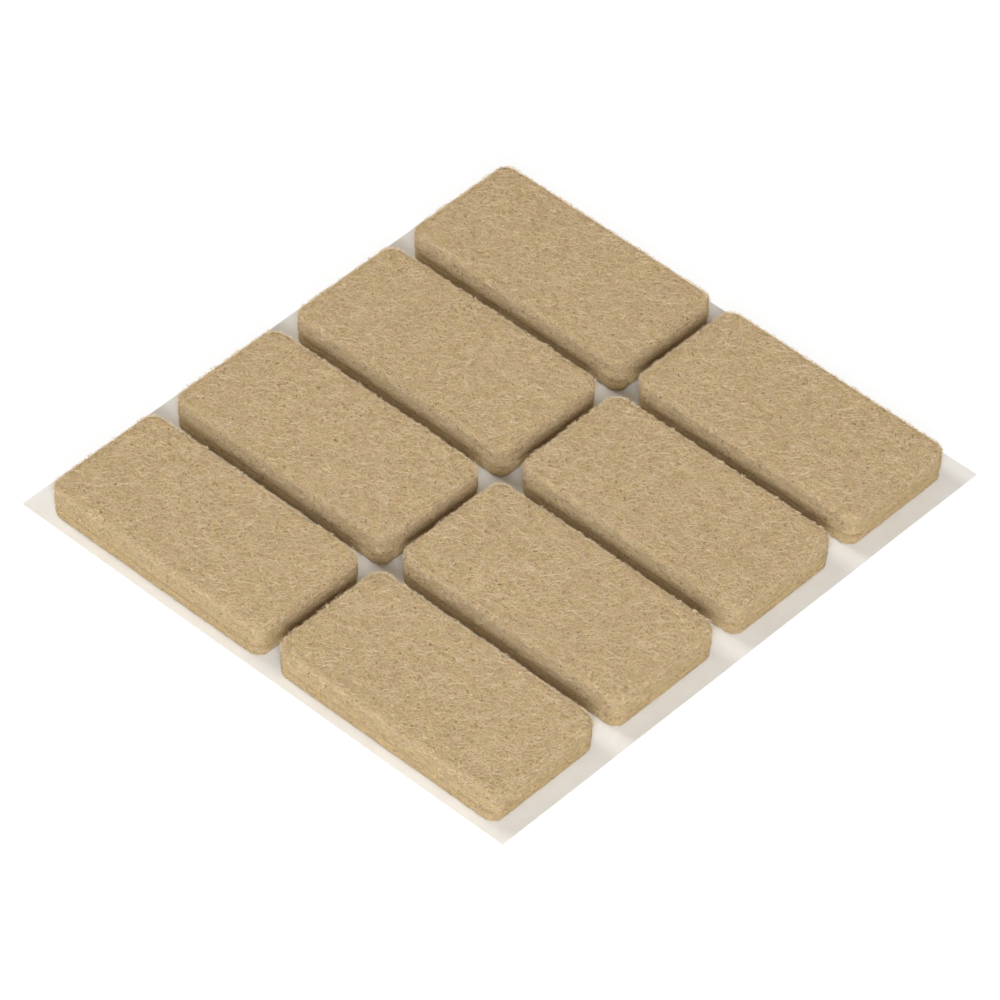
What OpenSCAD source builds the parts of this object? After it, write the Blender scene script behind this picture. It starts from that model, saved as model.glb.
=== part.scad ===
// Sheet of self-adhesive felt furniture pads on a peel-off release liner.
// X runs along the pads, Y across the rows, and Z up from the surface that the sheet lies on.
// The origin is the centre of the liner's underside. All lengths are in millimetres.

/* [Pads] */
// Length of a pad
pad_l = 40; // [25:1:70]
// Width of a pad
pad_w = 20; // [15:1:35]
// Radius of a pad's corners, seen from above
pad_corner_r = 1.3; // [1.1:0.1:4]

/* [Layout] */
// Gap between the two columns of pads
column_gap = 3; // [1:0.5:8]
// Gap between neighbouring rows of pads
row_gap = 4; // [1:0.5:8]

/* [Wear felt] */
// Thickness of the upper felt ply, which slides on the floor
wear_t = 3.6; // [2:0.1:5]
// Radius of the upper ply's top edge
wear_top_r = 0.7; // [0.4:0.1:1]
// Radius of the upper ply's lower edge, at the seam
wear_seam_r = 0.25; // [0.1:0.05:0.5]

/* [Base felt] */
// Thickness of the lower felt ply
base_t = 1.65; // [1:0.05:3]
// How far the lower ply's sides stand in from the upper ply's
base_inset = 0.1; // [0.05:0.05:0.5]
// Radius of the lower ply's top edge, at the seam
base_seam_r = 0.2; // [0.1:0.05:0.4]
// Radius of the lower ply's bottom edge
base_foot_r = 0.15; // [0.1:0.05:0.4]

/* [Bond film] */
// Thickness of the hot-melt film that holds the two plies together
bond_t = 0.1; // [0.05:0.05:0.3]
// How far the film's edge stands in from the lower ply's sides
bond_inset = 0.45; // [0.4:0.05:0.8]

/* [Adhesive] */
// Thickness of the adhesive film under a pad
adhesive_t = 0.15; // [0.05:0.05:0.4]
// How far the film's edge stands in from the lower ply's sides
adhesive_inset = 0.4; // [0.2:0.05:0.8]

/* [Release liner] */
// Thickness of the liner
liner_t = 0.15; // [0.05:0.05:0.4]
// How far the liner reaches past the ends of the pads
end_margin = 3.4; // [0.5:0.1:10]
// How far the liner reaches past the front row
front_margin = 1.6; // [0.5:0.1:10]
// How far the liner reaches past the back row
back_margin = 3.5; // [0.5:0.1:10]

/* [Hidden] */
$fn = 64;
columns = 2;
rows = 4;
quarter_turn = 90;

column_pitch = pad_l + column_gap;
row_pitch = pad_w + row_gap;
liner_l = columns * column_pitch - column_gap + 2 * end_margin;
liner_w = rows * row_pitch - row_gap + front_margin + back_margin;
rows_y = (front_margin - back_margin) / 2;

adhesive_z = liner_t;
base_z = adhesive_z + adhesive_t;
bond_z = base_z + base_t;
wear_z = bond_z + bond_t;

base_l = pad_l - 2 * base_inset;
base_w = pad_w - 2 * base_inset;
base_corner_r = pad_corner_r - base_inset;

felt_colour = [0.745, 0.645, 0.490];
base_colour = [0.780, 0.690, 0.535];
bond_colour = [0.700, 0.600, 0.440];
adhesive_colour = [0.880, 0.830, 0.700];
liner_colour = [0.920, 0.895, 0.850];

// Pads count along X first, then row by row from the front of the sheet to the back.
PADS = [1 : columns * rows];
function wear_name(pad) = str("pad_", pad, "_wear_felt");
function base_name(pad) = str("pad_", pad, "_base_felt");
function bond_name(pad) = str("pad_", pad, "_bond_film");
function adhesive_name(pad) = str("pad_", pad, "_adhesive_film");

// Centre of a numbered pad on the liner
function pad_place(pad) = let (
    column = (pad - 1) % columns,
    row = floor((pad - 1) / columns)
) [
    (column - (columns - 1) / 2) * column_pitch,
    rows_y + (row - (rows - 1) / 2) * row_pitch
];

// Quarter of a disc, in the first quadrant
module quarter_disc(r) {
    intersection() {
        circle(r = r);
        square(r);
    }
}

// Half section of a slab, from its middle out to its rounded edge
module edge_section(reach, t, top_r, foot_r) {
    square([reach - foot_r, t - top_r]);
    translate([0, foot_r]) square([reach - top_r, t - foot_r]);
    translate([0, foot_r]) square([reach, t - top_r - foot_r]);
    translate([reach - top_r, t - top_r]) quarter_disc(top_r);
    translate([reach - foot_r, foot_r]) mirror([0, 1]) quarter_disc(foot_r);
}

// Bar of the full section, lying along X
module slab_bar(run, reach, t, top_r, foot_r) {
    rotate([quarter_turn, 0, quarter_turn])
    linear_extrude(height = run, center = true) {
        edge_section(reach, t, top_r, foot_r);
        mirror([1, 0]) edge_section(reach, t, top_r, foot_r);
    }
}

// Die-cut felt slab: two crossed bars, and a turned quarter at each corner
module felt_slab(l, w, t, corner_r, top_r, foot_r) {
    straight_l = l - 2 * corner_r;
    straight_w = w - 2 * corner_r;
    slab_bar(straight_l, w / 2, t, top_r, foot_r);
    rotate(quarter_turn) slab_bar(straight_w, l / 2, t, top_r, foot_r);
    for (turn = [0 : 3]) {
        across = turn % 2 == 0 ? [straight_l, straight_w] : [straight_w, straight_l];
        rotate(turn * quarter_turn)
        translate(across / 2)
        rotate_extrude(angle = quarter_turn)
        edge_section(corner_r, t, top_r, foot_r);
    }
}

// Flat film with round corners, standing in from the lower ply's sides
module film(inset, t) {
    l = base_l - 2 * inset;
    w = base_w - 2 * inset;
    corner_r = base_corner_r - inset;
    linear_extrude(height = t) {
        square([l - 2 * corner_r, w], center = true);
        square([l, w - 2 * corner_r], center = true);
        for (x = [-1, 1], y = [-1, 1])
            translate([x * (l / 2 - corner_r), y * (w / 2 - corner_r)]) circle(r = corner_r);
    }
}

// Siliconised paper that the pads peel off
module release_liner() {
    color(liner_colour)
    translate([-liner_l / 2, -liner_w / 2, 0])
    cube([liner_l, liner_w, liner_t]);
}

// Upper ply of a pad
module wear_felt(pad) {
    color(felt_colour)
    translate(concat(pad_place(pad), wear_z))
    felt_slab(pad_l, pad_w, wear_t, pad_corner_r, wear_top_r, wear_seam_r);
}

// Lower ply of a pad
module base_felt(pad) {
    color(base_colour)
    translate(concat(pad_place(pad), base_z))
    felt_slab(base_l, base_w, base_t, base_corner_r, base_seam_r, base_foot_r);
}

// Hot-melt film between the two plies of a pad
module bond_film(pad) {
    color(bond_colour)
    translate(concat(pad_place(pad), bond_z))
    film(bond_inset, bond_t);
}

// Pressure-sensitive film on the underside of a pad
module adhesive_film(pad) {
    color(adhesive_colour)
    translate(concat(pad_place(pad), adhesive_z))
    film(adhesive_inset, adhesive_t);
}

release_liner();
for (pad = PADS) {
    wear_felt(pad);
    base_felt(pad);
    bond_film(pad);
    adhesive_film(pad);
}
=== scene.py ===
"""Looks of a sheet of self-adhesive felt furniture pads on its liner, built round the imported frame."""

import logging
import math
import random
from collections.abc import Callable, Iterator
from dataclasses import dataclass, field
from enum import Enum
from functools import partial
from typing import Any, Union

import bmesh
import bpy
from mathutils import Matrix, Vector


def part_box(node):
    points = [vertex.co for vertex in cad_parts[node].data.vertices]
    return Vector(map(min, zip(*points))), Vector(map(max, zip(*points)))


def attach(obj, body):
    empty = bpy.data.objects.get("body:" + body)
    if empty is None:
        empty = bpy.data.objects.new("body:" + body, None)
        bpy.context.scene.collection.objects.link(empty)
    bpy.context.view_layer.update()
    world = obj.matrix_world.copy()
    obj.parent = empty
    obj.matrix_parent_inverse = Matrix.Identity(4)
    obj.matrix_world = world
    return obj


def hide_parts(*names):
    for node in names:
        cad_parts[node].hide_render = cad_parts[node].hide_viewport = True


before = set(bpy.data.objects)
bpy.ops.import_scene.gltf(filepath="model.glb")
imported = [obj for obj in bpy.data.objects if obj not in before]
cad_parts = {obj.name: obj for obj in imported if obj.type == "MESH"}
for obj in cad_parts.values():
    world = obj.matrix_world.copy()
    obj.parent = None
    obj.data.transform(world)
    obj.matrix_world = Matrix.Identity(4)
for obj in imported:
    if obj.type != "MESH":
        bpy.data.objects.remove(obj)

log = logging.getLogger("felt_sheet")

MM = 0.001
PER_MM = 1000.0
COLUMNS = 2
ROWS = 4
PAD_COUNT = COLUMNS * ROWS

Triple = tuple[float, float, float]
Colour = Triple
# Least, most and likeliest value of a random draw.
Spread = Triple
Span = tuple[float, float]
Socket = bpy.types.NodeSocket


class Value:
    """A node's output as a number that Python operators can work on."""

    def __init__(self, graph: "Graph", socket: Socket) -> None:
        """Hold the socket and the graph that new nodes go into."""
        self.graph = graph
        self.socket = socket

    def _math(self, operation: str, *operands: "Operand") -> "Value":
        """Add a Math node.

        Args:
            operation: The node's operation.
            operands: What its sockets take, in order.

        Returns:
            The node's result.
        """
        node = self.graph.add("ShaderNodeMath", {"operation": operation}, dict(enumerate(operands)))
        return Value(self.graph, node.outputs[0])

    def __add__(self, other: "Operand") -> "Value":
        """Return the sum."""
        return self._math("ADD", self, other)

    def __radd__(self, other: "Operand") -> "Value":
        """Return the sum, from the right."""
        return self._math("ADD", other, self)

    def __sub__(self, other: "Operand") -> "Value":
        """Return the difference."""
        return self._math("SUBTRACT", self, other)

    def __rsub__(self, other: "Operand") -> "Value":
        """Return the difference, from the right."""
        return self._math("SUBTRACT", other, self)

    def __mul__(self, other: "Operand") -> "Value":
        """Return the product."""
        return self._math("MULTIPLY", self, other)

    def __rmul__(self, other: "Operand") -> "Value":
        """Return the product, from the right."""
        return self._math("MULTIPLY", other, self)

    def __abs__(self) -> "Value":
        """Return the absolute value."""
        return self._math("ABSOLUTE", self)

    def __or__(self, other: "Operand") -> "Value":
        """Return the larger of the two, as masks are joined."""
        return self._math("MAXIMUM", self, other)

    def step(self, low: float, high: float) -> "Value":
        """Rise smoothly from 0 to 1.

        Args:
            low: Where the rise starts.
            high: Where it ends.

        Returns:
            The clamped rise.
        """
        node = self.graph.add(
            "ShaderNodeMapRange",
            {"interpolation_type": "SMOOTHSTEP", "clamp": True},
            {"Value": self, "From Min": low, "From Max": high},
        )
        return Value(self.graph, node.outputs[0])


Operand = Union[Value, float]


class Graph:
    """The node tree of one material."""

    def __init__(self, name: str) -> None:
        """Make an empty material of that name."""
        self.material = bpy.data.materials.new(name)
        self.material.use_nodes = True
        self.tree = self.material.node_tree
        self.tree.nodes.clear()

    def add(self, kind: str, settings: dict[str, Any], inputs: dict[Any, Any]) -> bpy.types.Node:
        """Add any node.

        Args:
            kind: The node's type.
            settings: Its own options, which are set first.
            inputs: What its sockets take, by name or place: a Value, a socket or a constant.

        Returns:
            The new node.
        """
        node = self.tree.nodes.new(kind)
        for option, choice in settings.items():
            setattr(node, option, choice)
        for key, given in inputs.items():
            if isinstance(given, Value):
                given = given.socket
            if isinstance(given, Socket):
                self.tree.links.new(given, node.inputs[key])
            else:
                node.inputs[key].default_value = given
        return node

    def millimetres(self) -> Socket:
        """Return the point on the surface, in millimetres of the part's own frame."""
        coordinate = self.add("ShaderNodeTexCoord", {}, {})
        scaled = self.add(
            "ShaderNodeVectorMath",
            {"operation": "SCALE"},
            {0: coordinate.outputs["Object"], "Scale": PER_MM},
        )
        return scaled.outputs[0]

    def height(self, where: Socket) -> Value:
        """Return a point's Z."""
        node = self.add("ShaderNodeSeparateXYZ", {}, {0: where})
        return Value(self, node.outputs[2])

    def attribute(self, name: str) -> Value:
        """Return a mesh's own attribute as a number."""
        node = self.add("ShaderNodeAttribute", {"attribute_name": name}, {})
        return Value(self, node.outputs["Fac"])

    def noise(self, where: Socket, per_mm: float, detail: float, rough: float = 0.5) -> Value:
        """Add a noise pattern.

        Args:
            where: The point to look the pattern up at.
            per_mm: How many blobs fit in a millimetre.
            detail: Octaves of finer noise.
            rough: How strong the finer octaves are.

        Returns:
            The pattern, about 0.5 on average.
        """
        node = self.add(
            "ShaderNodeTexNoise",
            {},
            {"Vector": where, "Scale": per_mm, "Detail": detail, "Roughness": rough},
        )
        return Value(self, node.outputs[0])

    def warped(self, where: Socket, per_mm: float, reach: float) -> Socket:
        """Push a point about by noise, so that straight strands curl.

        Args:
            where: The point.
            per_mm: Scale of the curls.
            reach: How far a point moves, in millimetres.

        Returns:
            The moved point.
        """
        push = self.add("ShaderNodeTexNoise", {}, {"Vector": where, "Scale": per_mm, "Detail": 1.0})
        moved = self.add(
            "ShaderNodeVectorMath",
            {"operation": "MULTIPLY_ADD"},
            {0: push.outputs["Color"], 1: (reach, reach, reach), 2: where},
        )
        return moved.outputs[0]

    def turned(self, where: Socket, turn: Triple, stretch: Triple) -> Socket:
        """Turn and stretch a point.

        Args:
            where: The point.
            turn: Turns about X, Y and Z, in radians.
            stretch: Scales along the turned axes.

        Returns:
            The changed point.
        """
        node = self.add(
            "ShaderNodeMapping",
            {"vector_type": "TEXTURE"},
            {"Vector": where, "Rotation": turn, "Scale": stretch},
        )
        return node.outputs[0]

    def blend(self, share: Operand, under: Any, over: Any, mode: str = "MIX") -> Socket:
        """Mix two colours.

        Args:
            share: How much of the second shows.
            under: The first, as a colour socket or constant.
            over: The second.
            mode: How they mix.

        Returns:
            The mixed colour.
        """
        first, second = (
            given if isinstance(given, Socket) else (*given, 1.0) for given in (under, over)
        )
        node = self.add(
            "ShaderNodeMix",
            {"data_type": "RGBA", "clamp_factor": True, "blend_type": mode},
            {0: share, 6: first, 7: second},
        )
        return node.outputs[2]

    def bump(self, height: Value, depth: float, strength: float) -> Socket:
        """Turn a height into a surface normal.

        Args:
            height: The height, from 0 to 1.
            depth: What a height of 1 means, in metres.
            strength: How much of it shows.

        Returns:
            The normal.
        """
        node = self.add("ShaderNodeBump", {}, {"Height": height, "Distance": depth, "Strength": strength})
        return node.outputs[0]

    def surface(self, **inputs: Any) -> bpy.types.Material:
        """Close the graph with one principled surface.

        Args:
            inputs: Its sockets, with underscores for spaces in their names.

        Returns:
            The finished material.
        """
        named = {socket.replace("_", " "): given for socket, given in inputs.items()}
        shader = self.add("ShaderNodeBsdfPrincipled", {}, named)
        self.add("ShaderNodeOutputMaterial", {}, {"Surface": shader.outputs[0]})
        return self.material


@dataclass(frozen=True)
class FeltFinish:
    """Needled felt: crossing fibres, small pits darkened with painted shade, and a slow drift of tone."""

    name: str
    ground: Colour
    blush: Colour
    pale: Colour
    dark: Colour
    # Painted shade: the dark colour laid into the pits and the hollows of the relief.
    pit_shade: Colour
    rough: float = 0.6
    curl_per_mm: float = 0.7
    curl_reach: float = 1.2
    strand_gap: float = 0.14
    strand_run: float = 1.1
    strand_span: Span = (0.86, 1.0)
    tilt: float = 0.35
    pale_turns: tuple[float, ...] = (0.3, 1.45, 2.5)
    pale_share: float = 0.58
    pale_rise: float = 0.35
    dark_turns: tuple[float, ...] = (0.95, 2.1)
    dark_share: float = 0.55
    dark_drop: float = 0.15
    grain_per_mm: float = 5.5
    grain_span: Span = (0.32, 0.72)
    grain_share: float = 0.62
    grain_rise: float = 0.7
    pit_per_mm: float = 2.1
    pit_span: Span = (0.60, 0.76)
    pit_shade_share: float = 0.75
    pit_drop: float = 0.6
    hollow_span: Span = (-0.02, -0.14)
    drift_per_mm: float = 0.22
    drift_span: Span = (0.3, 0.7)
    drift_share: float = 0.20
    blush_per_mm: float = 0.9
    blush_span: Span = (0.35, 0.65)
    # Painted bounce light: below about 4.5 mm the colour is multiplied by a warm tint, standing in for the
    # warm light bounced between the felt walls.
    low_wall_bounce_tint: Colour = (1.03, 1.03, 1.0)
    low_wall_bounce_span: Span = (4.5, 2.6)
    bump_depth: float = 0.20 * MM

    def strands(self, graph: Graph, where: Socket, turns: tuple[float, ...]) -> Value:
        """Lay sets of fine curled strands over each other.

        Args:
            graph: The material's graph.
            where: The point in millimetres, already warped.
            turns: The heading of each set.

        Returns:
            A mask that is 1 along the strands.
        """
        across = self.strand_gap
        masks = []
        for index, heading in enumerate(turns):
            lean = self.tilt if index % 2 else -self.tilt
            drawn = graph.turned(where, (lean, 0.0, heading), (self.strand_run, across, across))
            ridge = 1.0 - abs(graph.noise(drawn, per_mm=1.0, detail=1.0) - 0.5) * 2.0
            masks.append(ridge.step(*self.strand_span))
        joined = masks[0]
        for mask in masks[1:]:
            joined = joined | mask
        return joined

    def material(self) -> bpy.types.Material:
        """Make the felt.

        Returns:
            The material.
        """
        graph = Graph(self.name)
        where = graph.millimetres()
        curled = graph.warped(where, self.curl_per_mm, self.curl_reach)
        pale = self.strands(graph, curled, self.pale_turns)
        dark = self.strands(graph, curled, self.dark_turns)
        # The relief attribute marks the hollows of the lumps, which get painted shade below.
        hollows = graph.attribute("relief").step(*self.hollow_span)
        grain = graph.noise(where, self.grain_per_mm, detail=1.0, rough=self.rough)
        holes = graph.noise(curled, self.pit_per_mm, detail=1.0, rough=self.rough).step(*self.pit_span)
        pits = holes | hollows
        drift = graph.noise(where, self.drift_per_mm, detail=3.0, rough=self.rough).step(*self.drift_span)
        blush = graph.noise(curled, self.blush_per_mm, detail=2.0, rough=self.rough).step(*self.blush_span)
        colour = graph.blend(blush, self.ground, self.blush)
        colour = graph.blend(drift * self.drift_share, colour, self.pale)
        colour = graph.blend(grain.step(*self.grain_span) * self.grain_share, colour, self.dark)
        colour = graph.blend(pale * self.pale_share, colour, self.pale)
        colour = graph.blend(dark * self.dark_share, colour, self.dark)
        # Painted shade: pits and relief hollows are darkened, standing in for the shade that falls in them.
        colour = graph.blend(pits * self.pit_shade_share, colour, self.pit_shade)
        # Painted bounce light: the lower walls and the whole base ply get a warmer, more saturated colour by
        # height.
        colour = graph.blend(graph.height(where).step(*self.low_wall_bounce_span), colour, self.low_wall_bounce_tint, "MULTIPLY")
        raised = pale * self.pale_rise + grain * self.grain_rise
        height = raised - pits * self.pit_drop - dark * self.dark_drop
        return graph.surface(
            Base_Color=colour,
            Normal=graph.bump(height, self.bump_depth, strength=1.0),
            Roughness=0.95,
            Specular_IOR_Level=0.12,
            Sheen_Weight=0.12,
            Sheen_Roughness=0.5,
        )


@dataclass(frozen=True)
class FibreFinish:
    """One loose fibre's colour, which drifts a little along the sheet."""

    name: str
    ground: Colour
    shade: Colour
    drift_per_mm: float = 0.7
    drift_span: Span = (0.3, 0.7)

    def material(self) -> bpy.types.Material:
        """Make the fibre's material.

        Returns:
            The material.
        """
        graph = Graph(self.name)
        drift = graph.noise(graph.millimetres(), self.drift_per_mm, detail=2.0).step(*self.drift_span)
        return graph.surface(
            Base_Color=graph.blend(drift, self.ground, self.shade),
            Roughness=0.8,
            Specular_IOR_Level=0.2,
            Sheen_Weight=0.1,
        )


@dataclass(frozen=True)
class LinerFinish:
    """Smooth off-white siliconised paper with a faint cloud of pulp."""

    name: str = "siliconised_paper"
    ground: Colour = (0.841, 0.823, 0.768)
    cloud: Colour = (0.800, 0.774, 0.711)
    fleck: Colour = (0.694, 0.641, 0.562)
    cloud_per_mm: float = 0.22
    cloud_rough: float = 0.6
    cloud_span: Span = (0.35, 0.7)
    cloud_share: float = 0.8
    cloud_rise: float = 0.6
    pulp_per_mm: float = 5.0
    pulp_roughness: float = 0.14
    fleck_per_mm: float = 1.3
    fleck_turn: Triple = (0.0, 0.0, 0.6)
    fleck_stretch: Triple = (2.4, 1.0, 1.0)
    fleck_span: Span = (0.71, 0.78)
    fleck_share: float = 0.25
    roughness: float = 0.42
    bump_depth: float = 0.01 * MM

    def material(self) -> bpy.types.Material:
        """Make the paper.

        Returns:
            The material.
        """
        graph = Graph(self.name)
        where = graph.millimetres()
        cloud = graph.noise(where, self.cloud_per_mm, detail=4.0, rough=self.cloud_rough)
        pulp = graph.noise(where, self.pulp_per_mm, detail=2.0)
        drawn = graph.turned(where, self.fleck_turn, self.fleck_stretch)
        flecks = graph.noise(drawn, self.fleck_per_mm, detail=2.0).step(*self.fleck_span)
        colour = graph.blend(cloud.step(*self.cloud_span) * self.cloud_share, self.ground, self.cloud)
        colour = graph.blend(flecks * self.fleck_share, colour, self.fleck)
        return graph.surface(
            Base_Color=colour,
            Roughness=self.roughness + pulp * self.pulp_roughness,
            Normal=graph.bump(pulp + cloud * self.cloud_rise, self.bump_depth, strength=0.5),
            Specular_IOR_Level=0.4,
        )


@dataclass(frozen=True)
class FilmFinish:
    """A thin film of glue with a faint orange-peel surface."""

    name: str
    ground: Colour
    streak: Colour
    gloss: float
    streak_stretch: Triple = (6.0, 0.8, 1.0)
    streak_span: Span = (0.35, 0.7)
    streak_rise: float = 0.5
    peel_per_mm: float = 1.6
    peel_roughness: float = 0.12
    bump_depth: float = 0.03 * MM

    def material(self) -> bpy.types.Material:
        """Make the film.

        Returns:
            The material.
        """
        graph = Graph(self.name)
        where = graph.millimetres()
        drawn = graph.turned(where, (0.0, 0.0, 0.0), self.streak_stretch)
        streaks = graph.noise(drawn, per_mm=1.0, detail=3.0)
        peel = graph.noise(where, self.peel_per_mm, detail=2.0)
        return graph.surface(
            Base_Color=graph.blend(streaks.step(*self.streak_span), self.ground, self.streak),
            Roughness=1.0 - self.gloss + peel * self.peel_roughness,
            Normal=graph.bump(peel + streaks * self.streak_rise, self.bump_depth, strength=0.5),
        )


class FibreTone(Enum):
    """Tones of the loose fibres, with their shares among the short ones on faces and sides."""

    PALE = 0.46
    MIDDLE = 0.30
    DARK = 0.24


def deselect_all() -> None:
    """Leave nothing selected, so that an operator acts on the new piece alone."""
    bpy.ops.object.select_all(action="DESELECT")


def make_active(piece: bpy.types.Object) -> None:
    """Select one piece alone and make it active."""
    deselect_all()
    piece.select_set(True)
    bpy.context.view_layer.objects.active = piece


def select_edges(piece: bpy.types.Object, wanted: Callable[[Vector, Vector], bool]) -> None:
    """Select edges in edit mode by the places of their ends.

    Args:
        piece: The object in edit mode.
        wanted: Says whether an edge between two points is wanted.
    """
    bpy.ops.mesh.select_mode(type="EDGE")
    bpy.ops.mesh.select_all(action="DESELECT")
    editing = bmesh.from_edit_mesh(piece.data)
    for edge in editing.edges:
        edge.select_set(wanted(edge.verts[0].co, edge.verts[1].co))
    bmesh.update_edit_mesh(piece.data)


def apply_modifier(piece: bpy.types.Object, kind: str, **settings: Any) -> None:
    """Add a modifier and apply it at once.

    Args:
        piece: The object.
        kind: The modifier's type.
        settings: Its options.
    """
    make_active(piece)
    modifier = piece.modifiers.new(kind.lower(), kind)
    for option, choice in settings.items():
        setattr(modifier, option, choice)
    bpy.ops.object.modifier_apply(modifier=modifier.name)


@dataclass
class Slab:
    """Outer form of one felt ply: a block with round corners in plan and rounded edges."""

    low: Vector
    high: Vector
    corner_r: float
    top_r: float
    foot_r: float

    @property
    def centre(self) -> Vector:
        """Return the middle of the block."""
        return (self.low + self.high) / 2

    @property
    def size(self) -> Vector:
        """Return the block's extents."""
        return self.high - self.low

    def inside(self, x: float, y: float) -> float:
        """Return how far a point in plan lies inside the outline.

        Args:
            x: Place along the pad.
            y: Place across the pad.

        Returns:
            The distance to the outline, below zero outside it.
        """
        half = self.size / 2
        over_x = abs(x - self.centre.x) - (half.x - self.corner_r)
        over_y = abs(y - self.centre.y) - (half.y - self.corner_r)
        beyond = math.hypot(max(over_x, 0.0), max(over_y, 0.0))
        return self.corner_r - beyond - min(max(over_x, over_y), 0.0)

    def height(self, x: float, y: float) -> float:
        """Return the height of the upper surface over a point in plan.

        Args:
            x: Place along the pad.
            y: Place across the pad.

        Returns:
            The surface's height, following the rounded edge.
        """
        sunk = self.top_r - min(max(self.inside(x, y), 0.0), self.top_r)
        return self.high.z - self.top_r + math.sqrt(max(self.top_r**2 - sunk**2, 0.0))

    def rim(self, share: float) -> tuple[Vector, Vector]:
        """Walk round the outline.

        Args:
            share: How far round, from 0 to 1.

        Returns:
            The point on the outline at height zero, and the outward direction there.
        """
        half = self.size / 2
        straight_x = 2 * (half.x - self.corner_r)
        straight_y = 2 * (half.y - self.corner_r)
        arc = self.corner_r * math.pi / 2
        left = share * 2 * (straight_x + straight_y + 2 * arc)
        heading = 0.0
        corner = Vector((half.x - self.corner_r, straight_y / -2, 0.0))
        middle = Vector((self.centre.x, self.centre.y, 0.0))
        for straight in (straight_y, straight_x, straight_y, straight_x):
            outward = Vector((math.cos(heading), math.sin(heading), 0.0))
            along = Vector((-outward.y, outward.x, 0.0))
            if left <= straight:
                return middle + corner + outward * self.corner_r + along * left, outward
            left -= straight
            corner = corner + along * straight
            if left <= arc:
                turn = heading + left / self.corner_r
                outward = Vector((math.cos(turn), math.sin(turn), 0.0))
                return middle + corner + outward * self.corner_r, outward
            left -= arc
            heading += math.pi / 2
        # Rounding can leave a sliver past the last corner, which is the start again.
        return self.rim(0.0)


@dataclass
class FeltPly:
    """One felt ply of a pad: a die-cut slab with a slightly lumpy surface."""

    node: str
    piece_name: str
    slab: Slab
    voxel: float
    lump: float
    held_z: tuple[float, float]
    corner_segments: int = 10
    edge_segments: int = 6
    wave_scale: float = 4.0 * MM
    wave_share: float = 0.6
    lump_scale: float = 0.42 * MM
    piece: bpy.types.Object = field(init=False)

    def pattern(self) -> bpy.types.Object:
        """Model the even slab, before its surface is roughened.

        Returns:
            The slab as an evenly divided mesh.
        """
        deselect_all()
        bpy.ops.mesh.primitive_cube_add(size=1.0, location=self.slab.centre, scale=self.slab.size)
        piece = bpy.context.active_object
        bpy.ops.object.transform_apply(location=True, rotation=True, scale=True)
        bpy.ops.object.mode_set(mode="EDIT")
        near = self.slab.foot_r / 10
        top, foot = self.slab.high.z - near, self.slab.low.z + near
        select_edges(piece, lambda a, b: abs(a.z - b.z) > near)
        bpy.ops.mesh.bevel(offset=self.slab.corner_r, segments=self.corner_segments, affect="EDGES")
        select_edges(piece, lambda a, b: a.z > top and b.z > top)
        bpy.ops.mesh.bevel(offset=self.slab.top_r, segments=self.edge_segments, affect="EDGES")
        select_edges(piece, lambda a, b: a.z < foot and b.z < foot)
        bpy.ops.mesh.bevel(offset=self.slab.foot_r, segments=self.edge_segments // 2, affect="EDGES")
        bpy.ops.object.mode_set(mode="OBJECT")
        apply_modifier(piece, "REMESH", mode="VOXEL", voxel_size=self.voxel)
        apply_modifier(piece, "SMOOTH", factor=0.5, iterations=3)
        return piece

    def build(self, pattern: bpy.types.Object, offset: Vector) -> None:
        """Copy the even slab to its place and roughen it.

        Args:
            pattern: The slab that all plies of this kind are copied from.
            offset: The way from the pattern to this ply.
        """
        self.piece = pattern.copy()
        self.piece.data = pattern.data.copy()
        self.piece.name = self.piece_name
        bpy.context.collection.objects.link(self.piece)
        self.piece.data.transform(Matrix.Translation(offset))
        group = "free_surface"
        low, high = self.held_z
        free = [v.index for v in self.piece.data.vertices if low < v.co.z < high]
        self.piece.vertex_groups.new(name=group).add(free, 1.0, "REPLACE")
        # The broad waves come first, so that the relief holds the fine lumps alone.
        for scale, depth in ((self.wave_scale, self.wave_share * self.lump), (self.lump_scale, self.lump)):
            even = [(v.co.copy(), v.normal.copy()) for v in self.piece.data.vertices]
            texture = bpy.data.textures.new(f"{self.piece_name}_lumps", "CLOUDS")
            texture.noise_scale = scale
            texture.noise_depth = 1
            apply_modifier(
                self.piece,
                "DISPLACE",
                texture=texture,
                texture_coords="LOCAL",
                strength=depth,
                mid_level=0.5,
                vertex_group=group,
            )
        # The relief is kept so that the felt's colour can darken the hollows as painted shade.
        relief = self.piece.data.attributes.new("relief", "FLOAT", "POINT")
        for vertex, (place, normal) in zip(self.piece.data.vertices, even):
            relief.data[vertex.index].value = (vertex.co - place).dot(normal) * PER_MM
        make_active(self.piece)
        bpy.ops.object.shade_smooth()

    def dress(self, material: bpy.types.Material, body: str, slot: str) -> None:
        """Give the ply its felt and tie it to the frame.

        Args:
            material: The felt.
            body: The body that it moves with.
            slot: The record's material slot; not used.
        """
        self.piece.data.materials.clear()
        self.piece.data.materials.append(material)
        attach(self.piece, body)
        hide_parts(self.node)


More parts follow.
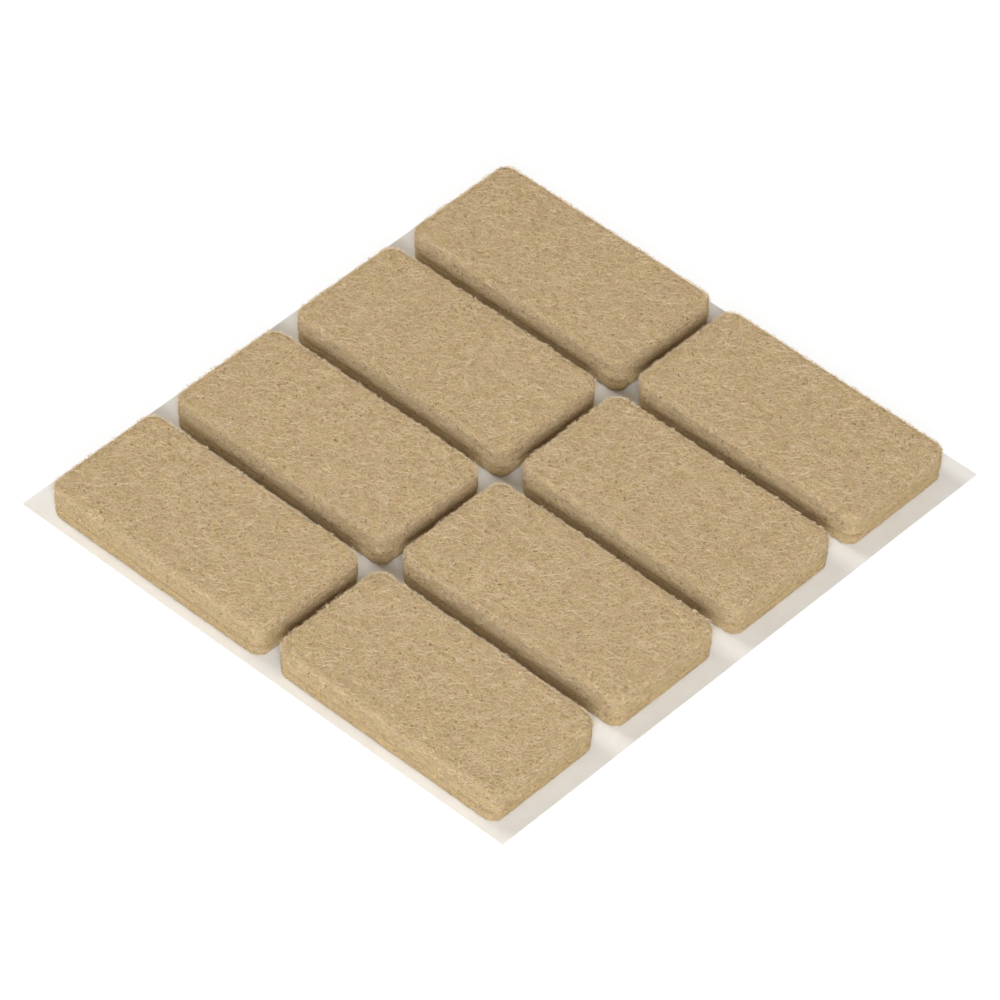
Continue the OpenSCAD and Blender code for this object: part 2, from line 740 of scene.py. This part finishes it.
@dataclass
class FibreFuzz:
    """Loose fibres that lie on a pad and stand out of its edges, drawn in millimetres."""

    piece_name: str
    wear: Slab
    base: Slab
    seed: int
    top_count: int = 3400
    top_curl: float = 0.6
    top_step: Spread = (0.12, 1.2, 0.35)
    top_lift: Spread = (0.02, 0.16, 0.05)
    top_rise: tuple[float, ...] = (0.0, 0.7, 1.0, -0.1)
    hair_count: int = 200
    hair_curl: float = 0.35
    hair_waver: float = 0.22
    hair_step: Span = (0.35, 0.75)
    hair_lift: float = 0.13 * MM
    hair_rise: tuple[float, ...] = (0.0, 0.6, 1.0, 0.7, 1.0, 0.7, 1.0, 0.6, 0.0)
    wear_rim_count: int = 1300
    base_rim_count: int = 400
    rim_level: Spread = (0.05, 1.0, 0.9)
    rim_slant: float = 0.42
    rim_climb: float = 0.10
    rim_reach: Spread = (0.05, 0.42, 0.08)
    rim_path: tuple[Span, ...] = ((-0.3, 0.0), (0.9, 0.4), (0.9, 1.0))
    fringe_count: int = 3000
    fringe_turn: Span = (0.2, 1.5)
    fringe_slant: float = 0.22
    fringe_share: Span = (0.6, 1.0)
    fringe_path: tuple[Span, ...] = ((-0.3, 0.0), (0.75, 0.4), (1.0, 1.0))
    tuft_count: int = 380
    tuft_span: Span = (0.3, 0.7)
    tuft_spread: Spread = (0.10, 0.62, 0.16)
    thickness: float = 0.024 * MM
    tip_share: float = 0.45
    overhang: float = 0.3 * MM
    tuft_reach: list[float] = field(init=False)
    piece: bpy.types.Object = field(init=False)

    def __post_init__(self) -> None:
        """Draw how far each tuft of the fringe stands out."""
        chance = random.Random(self.seed + 2 * PAD_COUNT)
        self.tuft_reach = [chance.triangular(*self.tuft_spread) * MM for _ in range(self.tuft_count)]

    def start(self, chance: random.Random) -> tuple[float, float, float]:
        """Draw where a fibre on the upper face starts.

        Args:
            chance: The pad's own random source.

        Returns:
            Its place along the pad, its place across it, and its heading.
        """
        low, high = self.wear.low, self.wear.high
        x = chance.uniform(low.x, high.x)
        y = chance.uniform(low.y, high.y)
        return x, y, chance.uniform(0.0, 2 * math.pi)

    def top_strand(self, chance: random.Random) -> list[Vector]:
        """Lay one fibre on the upper face.

        Args:
            chance: The pad's own random source.

        Returns:
            The points that the fibre follows.
        """
        x, y, heading = self.start(chance)
        curl = chance.gauss(0.0, self.top_curl)
        step = chance.triangular(*self.top_step) * MM
        lift = chance.triangular(*self.top_lift) * MM
        points = []
        for share in self.top_rise:
            points.append(Vector((x, y, self.wear.height(x, y) + lift * share)))
            x += step * math.cos(heading)
            y += step * math.sin(heading)
            heading += curl
        return points

    def hair_strand(self, chance: random.Random) -> list[Vector]:
        """Lay one long curly hair on the upper face.

        Args:
            chance: The pad's own random source.

        Returns:
            The points that the hair follows.
        """
        x, y, heading = self.start(chance)
        curl = chance.gauss(0.0, self.hair_curl)
        step = chance.uniform(*self.hair_step) * MM
        points = []
        for share in self.hair_rise:
            points.append(Vector((x, y, self.wear.height(x, y) + self.hair_lift * share)))
            x += step * math.cos(heading)
            y += step * math.sin(heading)
            heading += curl + chance.gauss(0.0, self.hair_waver)
        return points

    def rim_strand(self, chance: random.Random, slab: Slab) -> list[Vector]:
        """Let one fibre stand out of a ply's edge.

        Args:
            chance: The pad's own random source.
            slab: The ply.

        Returns:
            The points that the fibre follows.
        """
        point, outward = slab.rim(chance.random())
        z = slab.low.z + slab.size.z * chance.triangular(*self.rim_level)
        over = max(z - (slab.high.z - slab.top_r), 0.0)
        point = point - outward * (slab.top_r - math.sqrt(max(slab.top_r**2 - over**2, 0.0)))
        along = Vector((-outward.y, outward.x, 0.0)) * chance.gauss(0.0, self.rim_slant) * MM
        climb = Vector((0.0, 0.0, chance.gauss(0.0, self.rim_climb) * MM))
        reach = outward * chance.triangular(*self.rim_reach) * MM
        point = Vector((point.x, point.y, z))
        return [point + reach * out + along * way + climb * way for out, way in self.rim_path]

    def fringe_strand(self, chance: random.Random) -> list[Vector]:
        """Let one fibre stand off the rounded upper edge.

        Args:
            chance: The pad's own random source.

        Returns:
            The points that the fibre follows.
        """
        top_r = self.wear.top_r
        tuft = chance.randrange(self.tuft_count)
        point, outward = self.wear.rim((tuft + chance.uniform(*self.tuft_span)) / self.tuft_count)
        turn = chance.uniform(*self.fringe_turn)
        facing = outward * math.cos(turn) + Vector((0.0, 0.0, math.sin(turn)))
        middle = point - outward * top_r + Vector((0.0, 0.0, self.wear.high.z - top_r))
        along = Vector((-outward.y, outward.x, 0.0)) * chance.gauss(0.0, self.fringe_slant) * MM
        reach = self.tuft_reach[tuft] * chance.uniform(*self.fringe_share)
        return [middle + facing * (top_r + reach * out) + along * way for out, way in self.fringe_path]

    def lies_on(self, points: list[Vector]) -> bool:
        """Return whether a fibre stays on the upper face."""
        return all(self.wear.inside(p.x, p.y) > -self.overhang for p in points)

    def strands(self) -> Iterator[tuple[list[Vector], FibreTone]]:
        """Yield the points and the tone of every fibre, in a fixed order."""
        chance = random.Random(self.seed)
        toning = random.Random(self.seed + PAD_COUNT)
        makers = [self.top_strand] * self.top_count
        makers += [partial(self.rim_strand, slab=self.wear)] * self.wear_rim_count
        makers += [partial(self.rim_strand, slab=self.base)] * self.base_rim_count
        tones = toning.choices(list(FibreTone), [tone.value for tone in FibreTone], k=len(makers))
        makers += [self.fringe_strand] * self.fringe_count + [self.hair_strand] * self.hair_count
        # Fringe fibres and hairs all take the pale tone. On the fringe this is partly the felt's pale fibres
        # and partly a painted highlight for the light that upright edge fibres catch.
        tones += [FibreTone.PALE] * (self.fringe_count + self.hair_count)
        for maker, tone in zip(makers, tones):
            points = maker(chance)
            if maker not in (self.top_strand, self.hair_strand) or self.lies_on(points):
                yield points, tone

    def build(self) -> None:
        """Draw the fibres as thin curves and make them one mesh."""
        outline = bpy.data.curves.new("fibre_section", "CURVE")
        triangle = outline.splines.new("POLY")
        triangle.points.add(2)
        for point, turn in zip(triangle.points, (0.0, 2 * math.pi / 3, 4 * math.pi / 3)):
            point.co = (self.thickness * math.cos(turn), self.thickness * math.sin(turn), 0.0, 1.0)
        triangle.use_cyclic_u = True
        section = bpy.data.objects.new("fibre_section", outline)
        bpy.context.collection.objects.link(section)
        drawing = bpy.data.curves.new(self.piece_name, "CURVE")
        drawing.dimensions = "3D"
        drawing.bevel_mode = "OBJECT"
        drawing.bevel_object = section
        drawing.use_fill_caps = True
        tones = list(FibreTone)
        for points, tone in self.strands():
            inner = len(points) - 2
            spline = drawing.splines.new("POLY")
            spline.points.add(len(points) - 1)
            spline.points.foreach_set("co", [c for p in points for c in (*p, 1.0)])
            spline.points.foreach_set("radius", [self.tip_share, *[1.0] * inner, self.tip_share])
            spline.material_index = tones.index(tone)
        self.piece = bpy.data.objects.new(self.piece_name, drawing)
        bpy.context.collection.objects.link(self.piece)
        make_active(self.piece)
        bpy.ops.object.convert(target="MESH")
        self.piece = bpy.context.active_object
        bpy.data.objects.remove(section)
        make_active(self.piece)
        bpy.ops.object.shade_smooth()

    def dress(self, materials: dict[FibreTone, bpy.types.Material], body: str, slot: str) -> None:
        """Give the fibres their tones and tie them to the frame.

        Args:
            materials: One material for each tone.
            body: The body that they move with.
            slot: The record's material slot; not used.
        """
        self.piece.data.materials.clear()
        for tone in FibreTone:
            self.piece.data.materials.append(materials[tone])
        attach(self.piece, body)


@dataclass
class Finishes:
    """Every finish on the sheet, each made once."""

    wear_felt: bpy.types.Material
    base_felt: bpy.types.Material
    bond_film: bpy.types.Material
    adhesive: bpy.types.Material
    liner: bpy.types.Material
    fibres: dict[FibreTone, bpy.types.Material]

    @classmethod
    def mixed(cls) -> "Finishes":
        """Mix the finishes.

        Returns:
            All the finishes.
        """
        # The pit colours of both felts are painted shade for their pits and hollows.
        wear = FeltFinish(
            "wear_felt",
            ground=(0.828, 0.628, 0.250),
            blush=(0.855, 0.550, 0.314),
            pale=(0.929, 0.729, 0.427),
            dark=(0.497, 0.329, 0.138),
            pit_shade=(0.308, 0.173, 0.054),
        )
        base = FeltFinish(
            "base_felt",
            ground=(0.810, 0.589, 0.243),
            blush=(0.805, 0.540, 0.319),
            pale=(0.886, 0.680, 0.373),
            dark=(0.518, 0.343, 0.138),
            pit_shade=(0.324, 0.200, 0.078),
        )
        fibres = {
            FibreTone.PALE: FibreFinish("pale_fibre", (0.925, 0.762, 0.515), (0.830, 0.656, 0.408)),
            FibreTone.MIDDLE: FibreFinish("middle_fibre", (0.756, 0.540, 0.275), (0.648, 0.459, 0.227)),
            FibreTone.DARK: FibreFinish("dark_fibre", (0.389, 0.255, 0.112), (0.302, 0.194, 0.080)),
        }
        bond = FilmFinish("hot_melt_film", (0.448, 0.319, 0.162), (0.400, 0.280, 0.140), gloss=0.35)
        adhesive = FilmFinish("tacky_film", (0.748, 0.656, 0.448), (0.690, 0.590, 0.390), gloss=0.75)
        return cls(
            wear_felt=wear.material(),
            base_felt=base.material(),
            bond_film=bond.material(),
            adhesive=adhesive.material(),
            liner=LinerFinish().material(),
            fibres={tone: finish.material() for tone, finish in fibres.items()},
        )


@dataclass
class PadPatterns:
    """The two even slabs that every pad's plies are copied from, and where they stand."""

    wear: bpy.types.Object
    base: bpy.types.Object
    place: Vector

    def discard(self) -> None:
        """Delete the patterns once all copies are made."""
        for pattern in (self.wear, self.base):
            bpy.data.objects.remove(pattern)


@dataclass
class FeltPad:
    """One peel-off pad: two felt plies, their films and the fuzz on them."""

    number: int
    corner_r: float = 2.1 * MM
    wear_top_r: float = 0.7 * MM
    wear_seam_r: float = 0.25 * MM
    base_seam_r: float = 0.2 * MM
    base_foot_r: float = 0.1 * MM
    fluff: float = 0.16 * MM
    wear_voxel: float = 0.25 * MM
    base_voxel: float = 0.34 * MM
    wear_lump: float = 0.26 * MM
    base_lump: float = 0.18 * MM
    seam_hold: float = 0.12 * MM
    foot_drop: float = 0.12 * MM
    body: str = field(init=False)
    wear: FeltPly = field(init=False)
    base: FeltPly = field(init=False)
    fuzz: FibreFuzz = field(init=False)

    def __post_init__(self) -> None:
        """Take the plies' places from the frame."""
        self.body = f"pad_{self.number}"
        wear_low, wear_high = (Vector(c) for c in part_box(f"{self.body}_wear_felt"))
        base_low, base_high = (Vector(c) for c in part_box(f"{self.body}_base_felt"))
        base_corner_r = self.corner_r - (base_low.x - wear_low.x)
        seam = (base_high.z + wear_low.z) / 2
        wear_low.z, base_high.z = seam, seam
        base_low.z -= self.foot_drop
        halo = Vector((self.fluff, self.fluff, 0.0))
        wear_low, wear_high = wear_low - halo, wear_high + halo
        base_low, base_high = base_low - halo, base_high + halo
        self.wear = FeltPly(
            f"{self.body}_wear_felt",
            f"{self.body}_wear_ply",
            Slab(wear_low, wear_high, self.corner_r, self.wear_top_r, self.wear_seam_r),
            self.wear_voxel,
            self.wear_lump,
            (wear_low.z + self.seam_hold, wear_high.z + self.wear_top_r),
        )
        self.base = FeltPly(
            f"{self.body}_base_felt",
            f"{self.body}_base_ply",
            Slab(base_low, base_high, base_corner_r, self.base_seam_r, self.base_foot_r),
            self.base_voxel,
            self.base_lump,
            (base_low.z + self.seam_hold, base_high.z - self.seam_hold),
        )
        self.fuzz = FibreFuzz(f"{self.body}_fuzz", self.wear.slab, self.base.slab, self.number)

    def patterns(self) -> PadPatterns:
        """Model the even slabs at this pad's place.

        Returns:
            The patterns for all pads.
        """
        return PadPatterns(self.wear.pattern(), self.base.pattern(), self.wear.slab.centre)

    def build(self, patterns: PadPatterns) -> None:
        """Make the plies and the fuzz.

        Args:
            patterns: The even slabs to copy.
        """
        offset = self.wear.slab.centre - patterns.place
        self.wear.build(patterns.wear, offset)
        self.base.build(patterns.base, offset)
        self.fuzz.build()

    def dress(self, finishes: Finishes) -> None:
        """Give every layer its finish.

        Args:
            finishes: The sheet's finishes.
        """
        self.wear.dress(finishes.wear_felt, self.body, "wear_felt")
        self.base.dress(finishes.base_felt, self.body, "base_felt")
        self.fuzz.dress(finishes.fibres, self.body, "wear_felt")
        for layer, material in (("bond_film", finishes.bond_film), ("adhesive_film", finishes.adhesive)):
            coat_node(f"{self.body}_{layer}", material)


def coat_node(node: str, material: bpy.types.Material) -> None:
    """Give a CAD node a better material.

    Args:
        node: The node's name.
        material: What it is made of.
    """
    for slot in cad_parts[node].material_slots:
        slot.material = material


@dataclass
class ReleaseLiner:
    """The sheet of paper under the pads, trimmed by hand a little off the middle."""

    node: str = "release_liner"
    off_middle: float = -0.4 * MM
    edge_wave: float = 0.08 * MM
    wave_rim: float = 0.04
    wave_slant: float = 1.7
    wave_run: float = 7.0
    cuts: int = 60
    piece: bpy.types.Object = field(init=False)

    def build(self) -> None:
        """Lay a flat sheet, give it the paper's thickness and let its edges wave slightly."""
        low, high = (Vector(c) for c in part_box(self.node))
        size, centre = high - low, (low + high) / 2
        deselect_all()
        bpy.ops.mesh.primitive_grid_add(
            x_subdivisions=self.cuts, y_subdivisions=self.cuts, size=1.0,
            location=(centre.x + self.off_middle, centre.y, low.z),
        )
        self.piece = bpy.context.active_object
        self.piece.name = "liner_sheet"
        bpy.ops.transform.resize(value=(size.x, size.y, 1.0), center_override=self.piece.location)
        bpy.ops.object.transform_apply(location=True, rotation=True, scale=True)
        bpy.ops.object.mode_set(mode="EDIT")
        bpy.ops.mesh.select_all(action="SELECT")
        bpy.ops.mesh.extrude_region_move(TRANSFORM_OT_translate={"value": (0.0, 0.0, size.z)})
        bpy.ops.mesh.select_all(action="SELECT")
        bpy.ops.mesh.normals_make_consistent(inside=False)
        bpy.ops.object.mode_set(mode="OBJECT")
        for vertex in self.piece.data.vertices:
            reach = max(abs(vertex.co.x - centre.x) / size.x, abs(vertex.co.y - centre.y) / size.y) * 2
            rim = max(reach - (1.0 - self.wave_rim), 0.0) / self.wave_rim
            along = (vertex.co.x + self.wave_slant * vertex.co.y) * PER_MM
            vertex.co.z += self.edge_wave * rim * (1.0 + math.sin(along / self.wave_run)) / 2

    def dress(self, finishes: Finishes) -> None:
        """Give the liner its paper and tie it to the frame.

        Args:
            finishes: The sheet's finishes.
        """
        low, high = (Vector(c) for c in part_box(self.node))
        self.piece.data.materials.append(finishes.liner)
        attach(self.piece, "sheet")
        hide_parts(self.node)


@dataclass(frozen=True)
class Lamp:
    """A square soft lamp that faces the sheet, with its place and width in metres and its power in watts."""

    name: str
    place: Triple
    size: float
    power: float
    colour: Colour

    def hang(self) -> None:
        """Put the lamp in the scene."""
        data = bpy.data.lights.new(self.name, "AREA")
        data.size = self.size
        data.energy = self.power
        data.color = self.colour
        lamp = bpy.data.objects.new(self.name, data)
        lamp.location = self.place
        lamp.rotation_euler = Vector(self.place).to_track_quat("Z", "Y").to_euler()
        bpy.context.collection.objects.link(lamp)


@dataclass
class Studio:
    """White floor, soft light and the photograph's camera."""

    azimuth: float = 40.74
    elevation: float = 45.0
    roll: float = 2.81
    distance: float = 959.0 * MM
    target: Triple = (0.78 * MM, -1.71 * MM, 0.09 * MM)
    focal_px: float = 6954.8
    image_px: float = 1000.0
    sensor_mm: float = 36.0
    near_clip: float = 0.01
    floor_size: float = 6.0
    floor_drop: float = 0.02 * MM
    floor_colour: Colour = (0.92, 0.92, 0.92)
    glow_strength: float = 1.06
    glow_share: float = 0.85
    sky_colour: Colour = (1.0, 0.90, 0.79)
    sky_strength: float = 0.38
    lamps: tuple[Lamp, ...] = (
        Lamp("front", (0.70, -0.78, 0.60), 0.42, 13.9, (0.95, 1.0, 1.09)),
        Lamp("left", (-0.95, -0.12, 0.80), 0.36, 5.2, (1.0, 1.0, 1.0)),
    )

    def aim_camera(self) -> None:
        """Set the camera up as the photograph was taken."""
        azimuth, elevation, roll = (math.radians(a) for a in (self.azimuth, self.elevation, self.roll))
        level = math.cos(elevation)
        back = Vector((math.sin(azimuth) * level, -math.cos(azimuth) * level, math.sin(elevation)))
        right = Vector((0.0, 0.0, 1.0)).cross(back).normalized()
        turned = Matrix.Rotation(roll, 3, back) @ right
        up = back.cross(turned)
        data = bpy.data.cameras.new("camera")
        data.sensor_width = self.sensor_mm
        data.lens = self.focal_px / self.image_px * self.sensor_mm
        data.clip_start = self.near_clip
        camera = bpy.data.objects.new("camera", data)
        bpy.context.collection.objects.link(camera)
        place = Matrix((turned, up, back)).transposed().to_4x4()
        place.translation = Vector(self.target) + back * self.distance
        camera.matrix_world = place
        bpy.context.scene.camera = camera

    def lay_floor(self) -> None:
        """Lay a pale floor that shows white to the camera and keeps a soft shadow."""
        deselect_all()
        bpy.ops.mesh.primitive_plane_add(size=self.floor_size, location=(0.0, 0.0, -self.floor_drop))
        floor = bpy.context.active_object
        floor.name = "floor"
        graph = Graph("white_floor")
        path = graph.add("ShaderNodeLightPath", {}, {})
        seen = Value(graph, path.outputs["Is Camera Ray"]) | Value(graph, path.outputs["Is Glossy Ray"])
        seen = seen | Value(graph, path.outputs["Is Transmission Ray"])
        paper = graph.add("ShaderNodeBsdfDiffuse", {}, {"Color": (*self.floor_colour, 1.0)})
        white = {"Color": (1.0, 1.0, 1.0, 1.0), "Strength": self.glow_strength}
        glow = graph.add("ShaderNodeEmission", {}, white)
        shares = {0: seen * self.glow_share, 1: paper.outputs[0], 2: glow.outputs[0]}
        mixed = graph.add("ShaderNodeMixShader", {}, shares)
        graph.add("ShaderNodeOutputMaterial", {}, {"Surface": mixed.outputs[0]})
        floor.data.materials.append(graph.material)

    def light(self) -> None:
        """Light the sheet softly, most of all from the camera's side and a little from the left end."""
        world = bpy.data.worlds.new("studio")
        bpy.context.scene.world = world
        world.use_nodes = True
        background = world.node_tree.nodes["Background"]
        background.inputs["Color"].default_value = (*self.sky_colour, 1.0)
        background.inputs["Strength"].default_value = self.sky_strength
        for lamp in self.lamps:
            lamp.hang()
        bpy.context.scene.view_settings.view_transform = "Standard"

    def build(self) -> None:
        """Set up camera, floor and light."""
        self.aim_camera()
        self.lay_floor()
        self.light()


def main() -> None:
    """Build the studio, the pads and the liner in order, and report each."""
    logging.basicConfig(level=logging.INFO, format="%(name)s: %(message)s")
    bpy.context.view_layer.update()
    Studio().build()
    log.info("studio is set up")
    finishes = Finishes.mixed()
    pads = [FeltPad(number) for number in range(1, PAD_COUNT + 1)]
    patterns = pads[0].patterns()
    for pad in pads:
        pad.build(patterns)
        pad.dress(finishes)
        log.info("%s: %d, %d and %d faces", pad.body, *(
            len(part.piece.data.polygons) for part in (pad.wear, pad.base, pad.fuzz)
        ))
    patterns.discard()
    liner = ReleaseLiner()
    liner.build()
    liner.dress(finishes)
    log.info("release liner: %d faces", len(liner.piece.data.polygons))


if __name__ == "__main__":
    main()
